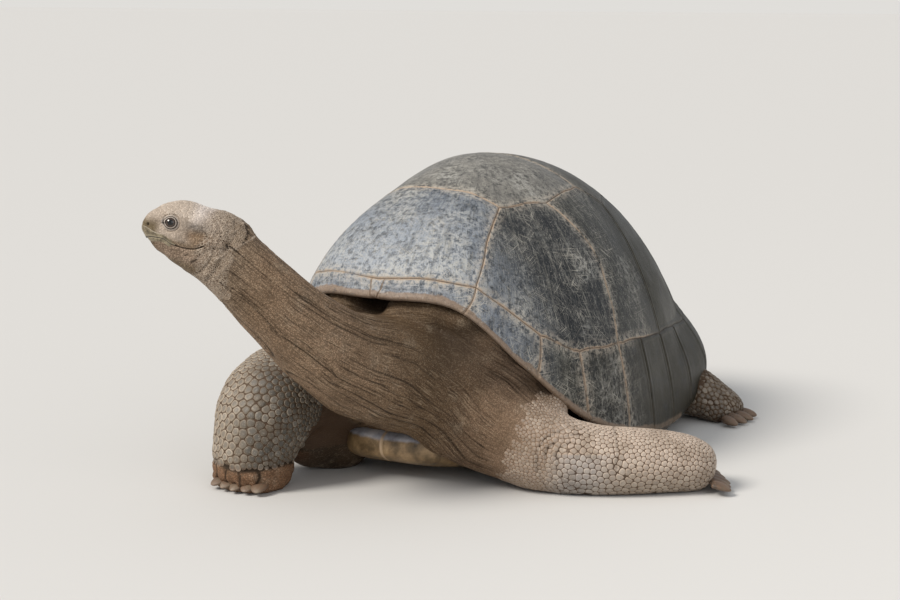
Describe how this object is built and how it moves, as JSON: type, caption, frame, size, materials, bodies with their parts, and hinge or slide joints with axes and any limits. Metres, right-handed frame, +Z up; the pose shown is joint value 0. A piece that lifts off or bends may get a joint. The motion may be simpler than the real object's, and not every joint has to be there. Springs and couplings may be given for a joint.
{
  "type": "giant tortoise",
  "caption": "Still life-size model of a giant tortoise at rest: domed plated shell, neck raised and turned to its right, forelegs spread, scaly legs and blunt claws.",
  "frame": {"origin": "on the floor, in the middle of the plastron's flat underside", "axes": "+Z up, the head end towards -Y, the animal's left towards +X"},
  "size_m": [1.1214, 1.5467, 0.6289],
  "materials": {
    "shell_plates": "worn smooth horn, satin sheen, dark slate grey with a bluish bloom and pale dusty streaks",
    "carapace_edge": "worn horn of the marginal plates, slate grey in front, olive brown and streaked over the hind legs",
    "plastron_horn": "horn, tan brown on the front lip, grey on its top face, scuffed",
    "beak_horn": "dark grey brown horn, matt, paler at the worn edge",
    "claw_horn": "brown horn, worn blunt and pale at the tips",
    "eyes": "wet, nearly black brown",
    "head_skin": "dry skin with small flat scales, pale pinkish grey",
    "leg_skin": "dry scaly skin, grey brown with dark brown grooves, reddish brown dust on the feet",
    "soft_skin": "dry finely wrinkled skin in long folds, warm grey brown"
  },
  "bodies": {
    "root": {"beak_lower": "beak_horn", "beak_upper": "beak_horn", "carapace": "carapace_edge", "costal_left_1": "shell_plates", "costal_left_2": "shell_plates", "costal_left_3": "shell_plates", "costal_left_4": "shell_plates", "costal_right_1": "shell_plates", "costal_right_2": "shell_plates", "costal_right_3": "shell_plates", "costal_right_4": "shell_plates", "eye_left": "eyes", "eye_right": "eyes", "foreleg_left_claw_1": "claw_horn", "foreleg_left_claw_2": "claw_horn", "foreleg_left_claw_3": "claw_horn", "foreleg_left_claw_4": "claw_horn", "foreleg_left_claw_5": "claw_horn", "foreleg_left_foot": "leg_skin", "foreleg_left_lower": "leg_skin", "foreleg_left_upper": "leg_skin", "foreleg_right_claw_1": "claw_horn", "foreleg_right_claw_2": "claw_horn", "foreleg_right_claw_3": "claw_horn", "foreleg_right_claw_4": "claw_horn", "foreleg_right_claw_5": "claw_horn", "foreleg_right_foot": "leg_skin", "foreleg_right_lower": "leg_skin", "foreleg_right_upper": "leg_skin", "head": "head_skin", "hindleg_left_claw_1": "claw_horn", "hindleg_left_claw_2": "claw_horn", "hindleg_left_claw_3": "claw_horn", "hindleg_left_claw_4": "claw_horn", "hindleg_left_foot": "leg_skin", "hindleg_left_thigh": "leg_skin", "hindleg_right_claw_1": "claw_horn", "hindleg_right_claw_2": "claw_horn", "hindleg_right_claw_3": "claw_horn", "hindleg_right_claw_4": "claw_horn", "hindleg_right_foot": "leg_skin", "hindleg_right_thigh": "leg_skin", "lower_jaw": "head_skin", "neck_base": "soft_skin", "neck_upper": "soft_skin", "plastron": "plastron_horn", "tail": "soft_skin", "trunk": "soft_skin", "vertebral_1": "shell_plates", "vertebral_2": "shell_plates", "vertebral_3": "shell_plates", "vertebral_4": "shell_plates", "vertebral_5": "shell_plates"}
  },
  "joints": []
}
